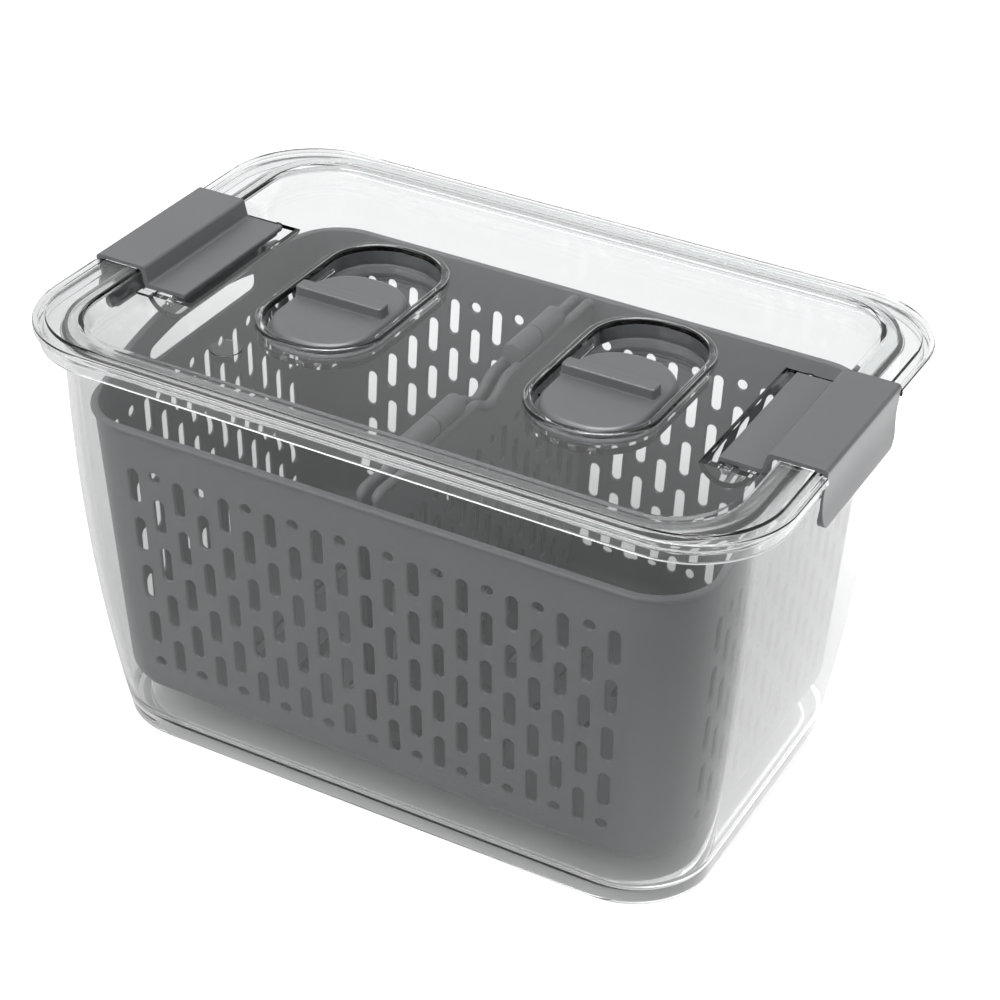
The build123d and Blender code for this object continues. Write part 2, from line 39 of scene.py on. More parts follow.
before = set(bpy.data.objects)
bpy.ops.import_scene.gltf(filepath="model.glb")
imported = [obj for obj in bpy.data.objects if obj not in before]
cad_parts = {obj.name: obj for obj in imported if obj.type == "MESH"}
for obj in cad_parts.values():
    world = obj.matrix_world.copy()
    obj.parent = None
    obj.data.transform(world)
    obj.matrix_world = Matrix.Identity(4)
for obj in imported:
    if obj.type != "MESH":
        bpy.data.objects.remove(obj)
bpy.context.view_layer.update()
MM = 0.001
TOUCHING = 0.002 * MM
SIDES = (-1, 1)

# Places, in mm, that more than one piece is set by

WALL_TOP = 177.5
WELL_X = 58.5

# Sizes and colours that a user would change


def length(name, description, default):
    """A size that a user can set, with its default given in mm."""
    return bpy.props.FloatProperty(
        name=name, description=description, default=default * MM, unit="LENGTH", precision=4
    )


def colour(name, description, default):
    """A colour that a user can set."""
    return bpy.props.FloatVectorProperty(
        name=name, description=description, default=default, size=3, min=0, max=1, subtype="COLOR"
    )


class KeeperSizes(bpy.types.PropertyGroup):
    tub_length: length("Tub length", "Length of the tub's wall at its mouth", 286.0)
    tub_width: length("Tub width", "Width of the tub's wall at its mouth", 192.0)
    tub_corner: length("Tub corner", "Corner radius of the tub's wall", 33.0)
    tub_height: length("Tub height", "Height of the tub's flange", 179.7)
    tub_wall: length("Tub wall", "Thickness of the tub's wall", 2.2)
    tub_tuck: length("Tub tuck", "How far the tub's wall stands in at its foot", 11.9)
    lid_length: length("Lid length", "Length over the lid's skirt", 312.0)
    lid_width: length("Lid width", "Width over the lid's skirt", 205.0)
    lid_corner: length("Lid corner", "Corner radius of the lid's skirt", 40.5)
    basket_length: length("Basket length", "Length of the basket's wall at its rim", 263.3)
    basket_width: length("Basket width", "Width of the basket's wall at its rim", 179.6)
    basket_top: length("Basket rim", "Height of the basket's rim", 151.3)
    slot_length: length("Slot length", "Length of a perforation", 15.8)
    slot_width: length("Slot width", "Width of a perforation", 4.4)
    slot_pitch: length("Slot pitch", "Distance between two columns of perforations", 10.3)
    latch_width: length("Latch width", "Width of a latch along the lid's edge", 70.0)


class KeeperColours(bpy.types.PropertyGroup):
    clear: colour("Clear plastic", "Tint of the tub and the lid", (0.955, 0.965, 0.965))
    silicone: colour("Silicone", "Tint of the gasket", (0.9, 0.91, 0.91))
    basket: colour("Basket plastic", "Colour of the basket and the divider", (0.092, 0.098, 0.102))
    latch: colour("Latch plastic", "Colour of the latches and the vent sliders", (0.12, 0.125, 0.13))


# Shader node groups and materials


def math_node(tree, operation, *values, clamp=False):
    """Adds a sum worked out from numbers and sockets, and gives its output."""
    step = tree.nodes.new("ShaderNodeMath")
    step.operation, step.use_clamp = operation, clamp
    for socket, value in zip(step.inputs, values):
        if isinstance(value, (int, float)):
            socket.default_value = value
        else:
            tree.links.new(value, socket)
    return step.outputs[0]


def scaled_colour(tree, tint, factor):
    """Adds a node that darkens or lightens a colour by a factor, and gives its output."""
    step = tree.nodes.new("ShaderNodeVectorMath")
    step.operation = "SCALE"
    tree.links.new(tint, step.inputs[0])
    tree.links.new(factor, step.inputs["Scale"])
    return step.outputs[0]


def soft_step(tree, value, low, high, top=1.0):
    """Adds a smooth rise from 0 to the top while a value goes from low to high, and gives its output."""
    ramp = tree.nodes.new("ShaderNodeMapRange")
    ramp.interpolation_type = "SMOOTHSTEP"
    ramp.inputs["From Min"].default_value = low
    ramp.inputs["From Max"].default_value = high
    ramp.inputs["To Max"].default_value = top
    tree.links.new(value, ramp.inputs["Value"])
    return ramp.outputs["Result"]


def group_io(tree, name, direction, kind, default=None):
    """Adds an input or an output to a node group."""
    socket = tree.interface.new_socket(name=name, in_out=direction, socket_type=kind)
    if default is not None:
        socket.default_value = default


def moulded_grain():
    """Fine grain and faint flow marks of moulded plastic."""
    name = "moulded grain"
    if name in bpy.data.node_groups:
        return bpy.data.node_groups[name]
    flow_scale = 34
    tree = bpy.data.node_groups.new(name, "ShaderNodeTree")
    group_io(tree, "Colour", "INPUT", "NodeSocketColor", (0.5, 0.5, 0.5, 1))
    group_io(tree, "Grain scale", "INPUT", "NodeSocketFloat", 2200.0)
    group_io(tree, "Mottle", "INPUT", "NodeSocketFloat", 0.08)
    group_io(tree, "Roughness", "INPUT", "NodeSocketFloat", 0.45)
    group_io(tree, "Roughness spread", "INPUT", "NodeSocketFloat", 0.08)
    group_io(tree, "Colour", "OUTPUT", "NodeSocketColor")
    group_io(tree, "Roughness", "OUTPUT", "NodeSocketFloat")
    group_io(tree, "Height", "OUTPUT", "NodeSocketFloat")
    node, link = tree.nodes.new, tree.links.new
    given, result = node("NodeGroupInput"), node("NodeGroupOutput")
    place = node("ShaderNodeTexCoord")
    fine = node("ShaderNodeTexNoise")
    fine.inputs["Detail"].default_value = 3
    link(place.outputs["Object"], fine.inputs["Vector"])
    link(given.outputs["Grain scale"], fine.inputs["Scale"])
    broad = node("ShaderNodeTexNoise")
    broad.inputs["Scale"].default_value = flow_scale
    broad.inputs["Detail"].default_value = 4
    link(place.outputs["Object"], broad.inputs["Vector"])
    swing = math_node(tree, "SUBTRACT", broad.outputs["Fac"], 0.5)
    shade = math_node(tree, "MULTIPLY_ADD", swing, given.outputs["Mottle"], 1.0)
    tint = scaled_colour(tree, given.outputs["Colour"], shade)
    spread = given.outputs["Roughness spread"]
    rough = math_node(tree, "MULTIPLY_ADD", swing, spread, given.outputs["Roughness"])
    link(tint, result.inputs["Colour"])
    link(rough, result.inputs["Roughness"])
    link(fine.outputs["Fac"], result.inputs["Height"])
    return tree


def new_material(name):
    """An empty material, and the calls that add its nodes and links."""
    material = bpy.data.materials.new(name)
    material.use_nodes = True
    material.node_tree.nodes.clear()
    return material, material.node_tree.nodes.new, material.node_tree.links.new


def grey_plastic(name, tint, roughness, grain, bump, painted_shade_depth, painted_shade_reach):
    """Moulded grey plastic with painted shade: ambient occlusion darkens its colour in its own hollows."""
    material, node, link = new_material(name)
    output, shader = node("ShaderNodeOutputMaterial"), node("ShaderNodeBsdfPrincipled")
    grains, relief = node("ShaderNodeGroup"), node("ShaderNodeBump")
    grains.node_tree = moulded_grain()
    grains.inputs["Colour"].default_value = (*tint, 1)
    grains.inputs["Grain scale"].default_value = grain
    grains.inputs["Roughness"].default_value = roughness
    relief.inputs["Strength"].default_value = bump
    relief.inputs["Distance"].default_value = 0.05 * MM
    shader.inputs["IOR"].default_value = 1.46
    # Painted shade: the piece's own ambient occlusion darkens the base colour in hollows, slots and inner
    # walls, where shade falls.
    hollow, level = node("ShaderNodeAmbientOcclusion"), node("ShaderNodeMapRange")
    hollow.only_local = True
    hollow.samples = 6
    hollow.inputs["Distance"].default_value = painted_shade_reach * MM
    level.inputs["To Min"].default_value = 1 - painted_shade_depth
    link(hollow.outputs["AO"], level.inputs["Value"])
    painted_shade_colour = scaled_colour(material.node_tree, grains.outputs["Colour"], level.outputs["Result"])
    link(painted_shade_colour, shader.inputs["Base Color"])
    link(grains.outputs["Roughness"], shader.inputs["Roughness"])
    link(grains.outputs["Height"], relief.inputs["Height"])
    link(relief.outputs["Normal"], shader.inputs["Normal"])
    link(shader.outputs[0], output.inputs["Surface"])


def clear_plastic(name, tint, roughness, index, shadow):
    """See-through plastic whose shadow lets most of the light through."""
    _, node, link = new_material(name)
    output, shader = node("ShaderNodeOutputMaterial"), node("ShaderNodeBsdfPrincipled")
    through, mix = node("ShaderNodeBsdfTransparent"), node("ShaderNodeMixShader")
    path, grains = node("ShaderNodeLightPath"), node("ShaderNodeGroup")
    grains.node_tree = moulded_grain()
    grains.inputs["Colour"].default_value = (*tint, 1)
    grains.inputs["Mottle"].default_value = 0.02
    grains.inputs["Roughness"].default_value = roughness
    grains.inputs["Roughness spread"].default_value = roughness * 0.5
    shader.inputs["IOR"].default_value = index
    shader.inputs["Specular IOR Level"].default_value = 0.3
    shader.inputs["Transmission Weight"].default_value = 1.0
    through.inputs["Color"].default_value = (shadow, shadow, shadow, 1)
    link(grains.outputs["Colour"], shader.inputs["Base Color"])
    link(grains.outputs["Roughness"], shader.inputs["Roughness"])
    link(path.outputs["Is Shadow Ray"], mix.inputs["Fac"])
    link(shader.outputs[0], mix.inputs[1])
    link(through.outputs[0], mix.inputs[2])
    link(mix.outputs[0], output.inputs["Surface"])


# Modelling helpers


def deselect():
    """Leaves no object selected."""
    bpy.ops.object.select_all(action="DESELECT")


def only(obj):
    """Selects one object and makes it the active one."""
    deselect()
    obj.select_set(True)
    bpy.context.view_layer.objects.active = obj


def corner_points(half_x, half_y, corner, segments, z):
    """Points round a rounded rectangle, from its right side turning left."""
    points = []
    for quarter, (sx, sy) in enumerate(((1, 1), (-1, 1), (-1, -1), (1, -1))):
        for step in range(segments + 1):
            turn = (quarter + step / segments) * pi / 2
            x = sx * (half_x - corner) + corner * cos(turn)
            y = sy * (half_y - corner) + corner * sin(turn)
            points.append(Vector((x, y, z)))
    return points


def face_from(name, points):
    """A new flat face with its corners at the points, left in edit mode."""
    deselect()
    bpy.ops.mesh.primitive_circle_add(vertices=len(points), radius=1, fill_type="NGON", location=(0, 0, 0))
    obj = bpy.context.object
    obj.name = obj.data.name = name
    for vertex, point in zip(obj.data.vertices, points):
        vertex.co = point
    bpy.ops.object.mode_set(mode="EDIT")
    bpy.ops.mesh.select_mode(type="FACE")
    bpy.ops.mesh.select_all(action="SELECT")
    return obj


def grown(name, rings):
    """A closed shell: a face on the first ring of points, extruded to each next ring."""
    obj = face_from(name, rings[0])
    for old, new in zip(rings, rings[1:]):
        tree = KDTree(len(old))
        for index, point in enumerate(old):
            tree.insert(point, index)
        tree.balance()
        bpy.ops.mesh.extrude_region_move(TRANSFORM_OT_translate={"value": (0, 0, 0)})
        mesh = bmesh.from_edit_mesh(obj.data)
        for vertex in mesh.verts:
            if vertex.select:
                vertex.co = new[tree.find(vertex.co)[1]]
        bmesh.update_edit_mesh(obj.data)
    return obj


def closed(obj):
    """Leaves edit mode with all faces pointing outwards."""
    bpy.ops.mesh.select_all(action="SELECT")
    bpy.ops.mesh.normals_make_consistent(inside=False)
    bpy.ops.object.mode_set(mode="OBJECT")
    return obj


def ring_shell(name, rings, segments=14, hollow=False, centre=(0, 0)):
    """A shell through rounded rectangles, each given as (z, half x, half y, corner) in mm."""
    loops = []
    for ring in rings:
        z, half_x, half_y, corner = (value * MM for value in ring)
        loops.append(corner_points(half_x, half_y, corner, segments, z))
    obj = grown(name, loops)
    if hollow:
        mesh = bmesh.from_edit_mesh(obj.data)
        for face in list(mesh.faces):
            if len(face.verts) > 4:
                mesh.faces.remove(face)
        bmesh.update_edit_mesh(obj.data)
        bpy.ops.mesh.select_all(action="SELECT")
        bpy.ops.mesh.remove_doubles(threshold=TOUCHING)
    closed(obj)
    obj.data.transform(Matrix.Translation((centre[0] * MM, centre[1] * MM, 0)))
    return obj


def round_rings(z, half_x, half_y, corner, radius, steps=5):
    """Rings of a quarter-round top edge that ends at the height z."""
    rings = []
    for step in range(steps + 1):
        turn = pi / 2 * step / steps
        inset = radius * (1 - cos(turn))
        rings.append((z - radius * (1 - sin(turn)), half_x - inset, half_y - inset, corner - inset))
    return rings


def prism(name, outline, axis, low, high):
    """A flat outline, given in mm across an axis, drawn out along that axis from low to high."""
    def place(pair, level):
        u, v = pair
        return Vector({"x": (level, u, v), "y": (u, level, v), "z": (u, v, level)}[axis]) * MM

    obj = face_from(name, [place(pair, low) for pair in outline])
    way = {"x": (1, 0, 0), "y": (0, 1, 0), "z": (0, 0, 1)}[axis]
    shift = [part * (high - low) * MM for part in way]
    bpy.ops.mesh.extrude_region_move(TRANSFORM_OT_translate={"value": shift})
    return closed(obj)


def barrel(name, radius, low, high, x, z, rim=0.6, vertices=32):
    """A bar along Y with softly rounded ends."""
    ends = [(low, radius - rim), (low + rim * 0.3, radius - rim * 0.3), (low + rim, radius)]
    ends += [(high - rim, radius), (high - rim * 0.3, radius - rim * 0.3), (high, radius - rim)]
    rings = []
    for y, reach in ends:
        turns = [2 * pi * step / vertices for step in range(vertices)]
        rings.append([Vector((x + reach * cos(turn), y, z + reach * sin(turn))) * MM for turn in turns])
    return closed(grown(name, rings))


def tube(name, path, radius, x, vertices=14):
    """A round bead along a path of (y, z) points in mm, with domed ends."""
    rings = []
    count = len(path)
    for index, (y, z) in enumerate(path):
        before, after = path[max(index - 1, 0)], path[min(index + 1, count - 1)]
        run = Vector((after[0] - before[0], after[1] - before[1])).normalized()
        domes = {0: ((-0.95, 0.3), (-0.7, 0.7), (0, 1)), count - 1: ((0, 1), (0.7, 0.7), (0.95, 0.3))}
        for shift, share in domes.get(index, ((0, 1),)):
            ring = []
            for step in range(vertices):
                turn = 2 * pi * step / vertices
                side, up = radius * share * cos(turn), radius * share * sin(turn)
                spot = (y + run.x * shift * radius - run.y * up, z + run.y * shift * radius + run.x * up)
                ring.append(Vector((x + side, *spot)) * MM)
            rings.append(ring)
    return closed(grown(name, rings))


def rounded_corners(points, radii, segments=6):
    """Replaces the corners of a flat outline by arcs."""
    result = []
    count = len(points)
    for index, (point, radius) in enumerate(zip(points, radii)):
        here = Vector(point)
        if radius == 0:
            result.append(tuple(here))
            continue
        before = (Vector(points[index - 1]) - here).normalized()
        after = (Vector(points[(index + 1) % count]) - here).normalized()
        half = before.angle(after) / 2
        reach = radius / abs(sin(half) / cos(half)) if abs(cos(half)) > 1e-9 else 0
        middle = here + (before + after).normalized() * radius / sin(half)
        start, end = here + before * reach - middle, here + after * reach - middle
        first = atan2(start.y, start.x)
        swing = (atan2(end.y, end.x) - first + pi) % (2 * pi) - pi
        for step in range(segments + 1):
            turn = first + swing * step / segments
            result.append((middle.x + radius * cos(turn), middle.y + radius * sin(turn)))
    return result


def joined(objects, name):
    """Makes one named object of several."""
    deselect()
    for obj in objects:
        obj.select_set(True)
    bpy.context.view_layer.objects.active = objects[0]
    if len(objects) > 1:
        bpy.ops.object.join()
    obj = bpy.context.object
    obj.name = obj.data.name = name
    return obj


def carve(obj, tools, operation="DIFFERENCE"):
    """Cuts or unites the tools with the piece, then clears them away."""
    for tool in tools:
        only(obj)
        modifier = obj.modifiers.new("carve", "BOOLEAN")
        modifier.operation = operation
        modifier.solver = "MANIFOLD"
        modifier.object = tool
        bpy.ops.object.modifier_apply(modifier=modifier.name)
        bpy.data.objects.remove(tool)


def soften(obj, width, segments, angle):
    """Rounds the sharp edges a little, as a mould leaves them."""
    only(obj)
    modifier = obj.modifiers.new("rounded edges", "BEVEL")
    modifier.width = width * MM
    modifier.segments = segments
    modifier.limit_method = "ANGLE"
    modifier.angle_limit = radians(angle)
    modifier.use_clamp_overlap = True
    bpy.ops.object.modifier_apply(modifier=modifier.name)


def cleaned(obj):
    """Clears the faces without area that cutting and rounding left."""
    only(obj)
    bpy.ops.object.mode_set(mode="EDIT")
    bpy.ops.mesh.select_all(action="SELECT")
    bpy.ops.mesh.remove_doubles(threshold=TOUCHING)
    bpy.ops.mesh.dissolve_degenerate(threshold=TOUCHING)
    bpy.ops.object.mode_set(mode="OBJECT")


def smooth(obj, angle):
    """Shades a piece smooth, apart from its edges that are sharper than the angle."""
    only(obj)
    bpy.ops.object.shade_smooth_by_angle(angle=radians(angle))
    modifier = obj.modifiers.new("even shading", "WEIGHTED_NORMAL")
    modifier.keep_sharp = True
    bpy.ops.object.modifier_apply(modifier=modifier.name)


def finish_piece(obj, name, material, body, node):
    """Gives a piece its name, material and slot and the body that it moves with, and hides the CAD node
    that it replaces.
    """
    obj.name = obj.data.name = name
    obj.data.materials.clear()
    obj.data.materials.append(bpy.data.materials[material])
    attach(obj, body)
    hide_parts(node)


def node_copy(node, name):
    """A merged copy of a CAD node's mesh, its flat faces made whole again."""
    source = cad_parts[node]
    mesh = source.data.copy()
    obj = bpy.data.objects.new(name, mesh)
    bpy.context.collection.objects.link(obj)
    only(obj)
    bpy.ops.object.mode_set(mode="EDIT")
    bpy.ops.mesh.select_all(action="SELECT")
    bpy.ops.mesh.remove_doubles(threshold=0.001 * MM)
    bpy.ops.mesh.dissolve_limited(angle_limit=radians(0.5))
    bpy.ops.object.mode_set(mode="OBJECT")
    return obj


# Operators, one for each piece or group of pieces


def sizes():
    """The sizes as the user has set them."""
    return bpy.context.scene.keeper_sizes


def colours():
    """The colours as the user has set them."""
    return bpy.context.scene.keeper_colours


def in_mm(value):
    """A length in metres as millimetres."""
    return value / MM


def tuck(z):
    """How far the tub's wall stands in at a height: hardly at its mouth, and most at its foot."""
    steepness = 2.2
    return in_mm(sizes().tub_tuck) * max(0.0, 1 - z / WALL_TOP) ** steepness


class KEEPER_OT_tub(bpy.types.Operator):
    """Adds the clear tub"""

    bl_idname = "keeper.tub"
    bl_label = "Tub"

    def execute(self, context):
        size = sizes()
        half_x, half_y = in_mm(size.tub_length) / 2, in_mm(size.tub_width) / 2
        corner, wall, top = in_mm(size.tub_corner), in_mm(size.tub_wall), in_mm(size.tub_height)

        def section(z, inset, thick=0.0):
            return (z, half_x - inset - thick, half_y - inset - thick, corner - thick)

        round_foot, steps = 3.0, 5
        foot = tuck(round_foot) + round_foot
        rings = [section(z, foot + inset, 1.0) for z, inset in ((5.8, 2.6), (0.5, 2.4), (0.0, 1.9))]
        for step in range(steps + 1):
            turn = pi / 2 * step / steps
            rings.append(section(round_foot * (1 - cos(turn)), foot - round_foot * sin(turn)))
        heights = (5, 9, 14, 22, 32, 45, 60, 78, 98, 120, 145, 168)
        rings += [section(z, tuck(z)) for z in heights]
        rings += [section(176.3, 0), section(177.1, -0.4), section(WALL_TOP, -1.2)]
        flange_x, flange_y, flange_corner = 154.0, 100.8, in_mm(size.lid_corner) - 1.5
        lip, lip_foot = 2.0, 173.9
        for z, inset in ((WALL_TOP, lip), (lip_foot, lip), (lip_foot, 0), (top, 0)):
            rings.append((z, flange_x - inset, flange_y - inset, flange_corner - inset))
        rings.append(section(top, 0, wall))
        curve_top = 13
        rings += [section(z, tuck(z), wall) for z in reversed(heights) if z > curve_top]
        inner_curve = ((10.4, 11, 0.3), (8.8, 9, 1.4), (8.2, 8, 3.4))
        rings += [section(z, tuck(level), wall + extra) for z, level, extra in inner_curve]
        obj = ring_shell("tub_shell", rings, segments=16)
        soften(obj, 0.45, 3, 50)
        smooth(obj, 50)
        finish_piece(obj, "tub_shell", "clear plastic", "tub", "tub")
        return {"FINISHED"}


def fuller_corners(obj, half_x, half_y, old, new, band):
    """Draws the outer corners of a copied band out to a smaller radius."""
    touch = 0.01
    for vertex in obj.data.vertices:
        x, y, z = (in_mm(value) for value in vertex.co)
        across, along = abs(x) - (half_x - old), abs(y) - (half_y - old)
        if across < -touch or along < -touch:
            continue
        depth = old - sqrt(across**2 + along**2)
        if depth > band:
            continue
        turn = atan2(max(along, 0), max(across, 0))
        reach = new - depth
        spot = (half_x - new + reach * cos(turn), half_y - new + reach * sin(turn))
        vertex.co = Vector((spot[0] if x > 0 else -spot[0], spot[1] if y > 0 else -spot[1], z)) * MM


def wider_beads(obj, growth):
    """Moves the outer side of the two beads round the vent wells outwards."""
    half_x, half_y, corner = 26.0, 46.0, 24.0
    low, high, near = 176.9, 178.4, 0.6
    for vertex in obj.data.vertices:
        x, y, z = (in_mm(value) for value in vertex.co)
        side = WELL_X if x > 0 else -WELL_X
        over_x, over_y = abs(x - side) - (half_x - corner), abs(y) - (half_y - corner)
        reach = sqrt(max(over_x, 0) ** 2 + max(over_y, 0) ** 2)
        if z < low or z > high or abs(reach - corner) > near:
            continue
        share = growth / reach
        vertex.co.x += max(over_x, 0) * share * MM * (1 if x > side else -1)
        vertex.co.y += max(over_y, 0) * share * MM * (1 if y > 0 else -1)


def round_level(obj, level, width, segments):
    """Rounds the sharp edges that run along one height of a piece."""
    near, sharp = 0.02, radians(40)
    only(obj)
    bpy.ops.object.mode_set(mode="EDIT")
    bpy.ops.mesh.select_mode(type="EDGE")
    bpy.ops.mesh.select_all(action="DESELECT")
    mesh = bmesh.from_edit_mesh(obj.data)
    for edge in mesh.edges:
        flat = all(abs(in_mm(vertex.co.z) - level) < near for vertex in edge.verts)
        if flat and len(edge.link_faces) == 2 and edge.calc_face_angle(0) > sharp:
            edge.select = True
    bmesh.update_edit_mesh(obj.data)
    bpy.ops.mesh.bevel(offset=width * MM, segments=segments, affect="EDGES", clamp_overlap=True)
    bpy.ops.object.mode_set(mode="OBJECT")


class KEEPER_OT_lid(bpy.types.Operator):
    """Adds the clear lid and its gasket"""

    bl_idname = "keeper.lid"
    bl_label = "Lid"

    def execute(self, context):
        size = sizes()
        half_x, half_y = in_mm(size.lid_length) / 2, in_mm(size.lid_width) / 2
        corner, node_corner, band, bead_growth = in_mm(size.lid_corner), 45.0, 8.0, 1.0
        bead_top, rim_step, rim_top = (178.3, 1.15, 4), (183.0, 0.8, 4), (184.0, 0.5, 3)
        obj = node_copy("lid", "lid_shell")
        fuller_corners(obj, half_x, half_y, node_corner, corner, band)
        wider_beads(obj, bead_growth)
        for level, width, segments in (bead_top, rim_step, rim_top):
            round_level(obj, level, width, segments)
        soften(obj, 0.25, 2, 40)
        mark_radius, mark_corner, mark_centre = 6.3, 6.29, (-78, -60)
        mark = [
            (z, mark_radius - inset, mark_radius - inset, mark_corner - inset)
            for z, inset in ((176.9, 0), (177.2, 0), (177.35, 0.15))
        ]
        obj = joined([obj, ring_shell("gate mark", mark, segments=8, centre=mark_centre)], "lid_shell")
        cleaned(obj)
        smooth(obj, 40)
        finish_piece(obj, "lid_shell", "clear plastic", "lid", "lid")
        reach_x, reach_y, reach_corner = 142.0, 97.0, 34.5
        profile = [(180.1, 0.6), (180.1, 4.4), (180.5, 5.0), (181.3, 5.0)]
        profile += [(181.7, 4.4), (181.7, 0.6), (181.3, 0), (180.5, 0)]
        rings = []
        for z, inset in (*profile, profile[0]):
            rings.append((z, reach_x - inset, reach_y - inset, reach_corner - inset))
        ring = ring_shell("gasket_ring", rings, segments=14, hollow=True)
        smooth(ring, 50)
        finish_piece(ring, "gasket_ring", "clear silicone", "lid", "lid_gasket")
        return {"FINISHED"}


class KEEPER_OT_latches(bpy.types.Operator):
    """Adds the two snap latches"""

    bl_idname = "keeper.latches"
    bl_label = "Latches"

    def execute(self, context):
        half = in_mm(sizes().latch_width) / 2
        top, foot, reach, waist, face_top, face_height = 185.2, 157.6, 155.7, 0.9, 1.8, 22.0
        under_top, pad_top, pad_foot, pad_end, catch = 183.4, 178.0, 176.2, 114.2, 152.7
        face = []
        for step in range(1, 10):
            face.append((reach - waist * sin(pi * step / 10), top - face_top - face_height * step / 10, 0))
        corners = [
            (130.9, pad_top, 1.3), (132.7, top, 1.5), (reach, top, 1.7), *face,
            (reach + 0.2, foot, 2.3), (catch, foot, 0.7), (catch, 161.6, 1.0), (153.8, 168.5, 2.0),
            (153.9, under_top, 1.0), (134.4, under_top, 0.8), (132.6, pad_foot, 0.8),
            (pad_end, pad_foot, 0.7), (pad_end, pad_top, 0.7),
        ]
        outline = rounded_corners([spot[:2] for spot in corners], [spot[2] for spot in corners])
        round_end, cut_from, cut_to = 9.5, 150, 160
        arc = [
            (half - round_end + round_end * cos(turn), foot + round_end + round_end * sin(turn))
            for turn in [-pi / 2 * step / 8 for step in range(9)]
        ]
        waste = [(half + 1, foot - 1), (half + 1, foot + round_end), *arc, (half - round_end, foot - 1)]
        pivot_x, pivot_z, barrel_radius, barrel_step = 118.5, 174.4, 2.2, 0.2
        pin_radius, pin_length = 1.6, 3.6
        for side, word in zip(SIDES, ("left", "right")):
            node = "latch_" + word
            obj = prism("latch", [(side * x, z) for x, z in outline], "y", -half, half)
            span = sorted((side * cut_from, side * cut_to))
            carve(obj, [prism("round end", [(end * y, z) for y, z in waste], "x", *span) for end in SIDES])
            soften(obj, 0.6, 4, 40)
            low, high = -half + barrel_step, half - barrel_step
            axle = barrel("barrel", barrel_radius, low, high, side * pivot_x, pivot_z)
            low, high = -half - pin_length, half + pin_length
            pins = barrel("pins", pin_radius, low, high, side * pivot_x, pivot_z, rim=0.4)
            obj = joined([obj, axle, pins], "latch_body_" + word)
            smooth(obj, 40)
            finish_piece(obj, "latch_body_" + word, "latch plastic", node, node)
        return {"FINISHED"}


class KEEPER_OT_vents(bpy.types.Operator):
    """Adds the two vent sliders"""

    bl_idname = "keeper.vents"
    bl_label = "Vent sliders"

    def execute(self, context):
        base, top, step_in, top_round = 170.15, 176.55, 1.8, 2.6
        half_x, half_y, corner, plate_y = 23.15, 31.6, 21.15, -10.75
        flange = [(base, 0.4), (base + 0.4, 0), (171.6, 0), (171.9, 0.25)]
        flange += [(172.0, step_in - 0.3), (172.3, step_in)]
        ridge = [(176.3, 20.1, 4.0, 2.0), (176.55, 19.9, 3.8, 1.8), (177.1, 19.5, 3.4, 1.4)]
        ridge += round_rings(180.75, 19.45, 3.35, 1.4, 0.75, 4)
        ridge_left, ridge_y = 1.4, -6.5
        for side, word in zip(SIDES, ("left", "right")):
            node = "vent_slider_" + word
            middle = side * WELL_X
            rings = [(z, half_x - inset, half_y - inset, corner - inset) for z, inset in flange]
            rings += round_rings(top, half_x - step_in, half_y - step_in, corner - step_in, top_round, 7)
            plate = ring_shell("plate", rings, segments=16, centre=(middle, plate_y))
            grip = ring_shell("grip", ridge, segments=6, centre=(middle - ridge_left, ridge_y))
            obj = joined([plate, grip], "vent_cover_" + word)
            smooth(obj, 40)
            finish_piece(obj, "vent_cover_" + word, "latch plastic", node, node)
        return {"FINISHED"}


def slot_tool(long, wide, thick, flare=0.75, ends=8):
    """One softly countersunk slot through a wall, along Z with its long side on Y."""
    profile = ((1.7, 2.2), (1.0, 1.0), (0.72, 0.4), (0.35, 0.08), (0.0, 0.0))
    levels = [(-step * thick / 2, grow * flare) for step, grow in profile]
    levels += [(step * thick / 2, grow * flare) for step, grow in reversed(profile[:-1])]
    straight = max((long - wide) / 2, 0.0)

    def ring(grow, z):
        radius = wide / 2 + grow
        result = []
        for half in (0, 1):
            for step in range(ends + 1):
                turn = pi * (half + step / ends)
                shift = straight if half == 0 else -straight
                result.append(Vector((radius * cos(turn), shift + radius * sin(turn), z)) * MM)
        return result

    mesh = bmesh.new()
    rings = []
    for z, grow in levels:
        points = ring(grow, z)
        if straight == 0:
            points = points[:ends] + points[ends + 1 : -1]
        rings.append([mesh.verts.new(point) for point in points])
    for low, high in zip(rings, rings[1:]):
        for index in range(len(low)):
            after = (index + 1) % len(low)
            mesh.faces.new((low[index], low[after], high[after], high[index]))
    mesh.faces.new(list(reversed(rings[0])))
    mesh.faces.new(rings[-1])
    return mesh


def slot_rows(count):
    """Places of the slots and small holes on a wall, as (across, up, is a slot)."""
    pitch = in_mm(sizes().slot_pitch)
    high_row, low_row, row_pitch, narrowing = 123.2, 111.8, 22.8, 0.0004
    low_hole, high_hole = 37.6, 130.0
    places = []
    for column in range(count):
        across = column - (count - 1) / 2
        starts_high = column % 2 == 0
        top = high_row if starts_high else low_row
        levels = [(top - row_pitch * row, True) for row in range(4)]
        levels.append((low_hole if starts_high else high_hole, False))
        for up, is_slot in levels:
            fan = 1 - narrowing * (high_row - up)
            places.append((across * pitch * fan, up, is_slot))
    return places


def punch(name, walls):
    """All the slot tools of a piece as one object, each set by its wall's own matrix."""
    size, thick = sizes(), 2.0
    slot = slot_tool(in_mm(size.slot_length), in_mm(size.slot_width), thick)
    hole = slot_tool(0, in_mm(size.slot_width), thick)
    whole = bmesh.new()
    for frame_of, count, raised in walls:
        for across, up, is_slot in slot_rows(count):
            part = (slot if is_slot else hole).copy()
            part.transform(frame_of(across, up + raised))
            piece = bpy.data.meshes.new("tool")
            part.to_mesh(piece)
            part.free()
            whole.from_mesh(piece)
            bpy.data.meshes.remove(piece)
    data = bpy.data.meshes.new(name)
    whole.to_mesh(data)
    whole.free()
    obj = bpy.data.objects.new(name, data)
    bpy.context.collection.objects.link(obj)
    return obj


